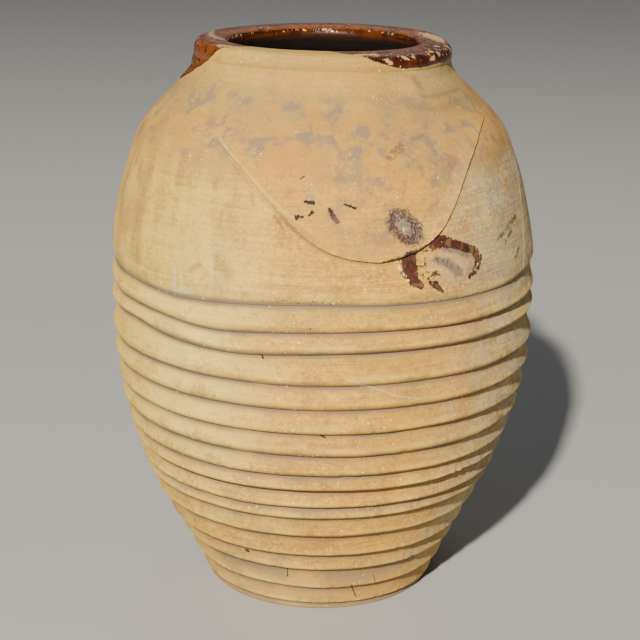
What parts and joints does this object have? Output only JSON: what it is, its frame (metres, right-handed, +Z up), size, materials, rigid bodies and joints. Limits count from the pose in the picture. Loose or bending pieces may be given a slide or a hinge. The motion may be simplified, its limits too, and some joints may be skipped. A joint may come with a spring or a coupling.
{
  "type": "greek pithos",
  "caption": "Large ribbed clay storage jar with a glazed inside and heavy flat rim, garland relief on the shoulder; stands on its foot.",
  "frame": {"origin": "middle of the foot's flat underside, on the ground", "axes": "+Z up along the axis of the jar, -Y the side that the picture shows (azimuth 0), +X to its right"},
  "size_m": [0.6032, 0.6032, 0.785],
  "materials": {
    "buff_clay": "matt, weathered buff earthenware with orange and grey mottling and wheel marks",
    "brown_glaze": "glossy brown lead glaze, crackled and chipped at the rim"
  },
  "bodies": {
    "root": {"base_disc": "buff_clay", "wall_course_01": "buff_clay", "wall_course_02": "buff_clay", "wall_course_03": "buff_clay", "wall_course_04": "buff_clay", "wall_course_05": "buff_clay", "wall_course_06": "buff_clay", "wall_course_07": "buff_clay", "wall_course_08": "buff_clay", "wall_course_09": "buff_clay", "wall_course_10": "buff_clay", "wall_course_11": "buff_clay", "wall_course_12": "buff_clay", "wall_course_13": "buff_clay", "wall_course_14": "buff_clay", "wall_course_15": "buff_clay", "shoulder_course_1": "buff_clay", "shoulder_course_2": "buff_clay", "shoulder_course_3": "buff_clay", "neck_course": "buff_clay", "rim_lip": "buff_clay", "swag_front": "buff_clay", "swag_back": "buff_clay", "glaze_coat": "brown_glaze"}
  },
  "joints": []
}
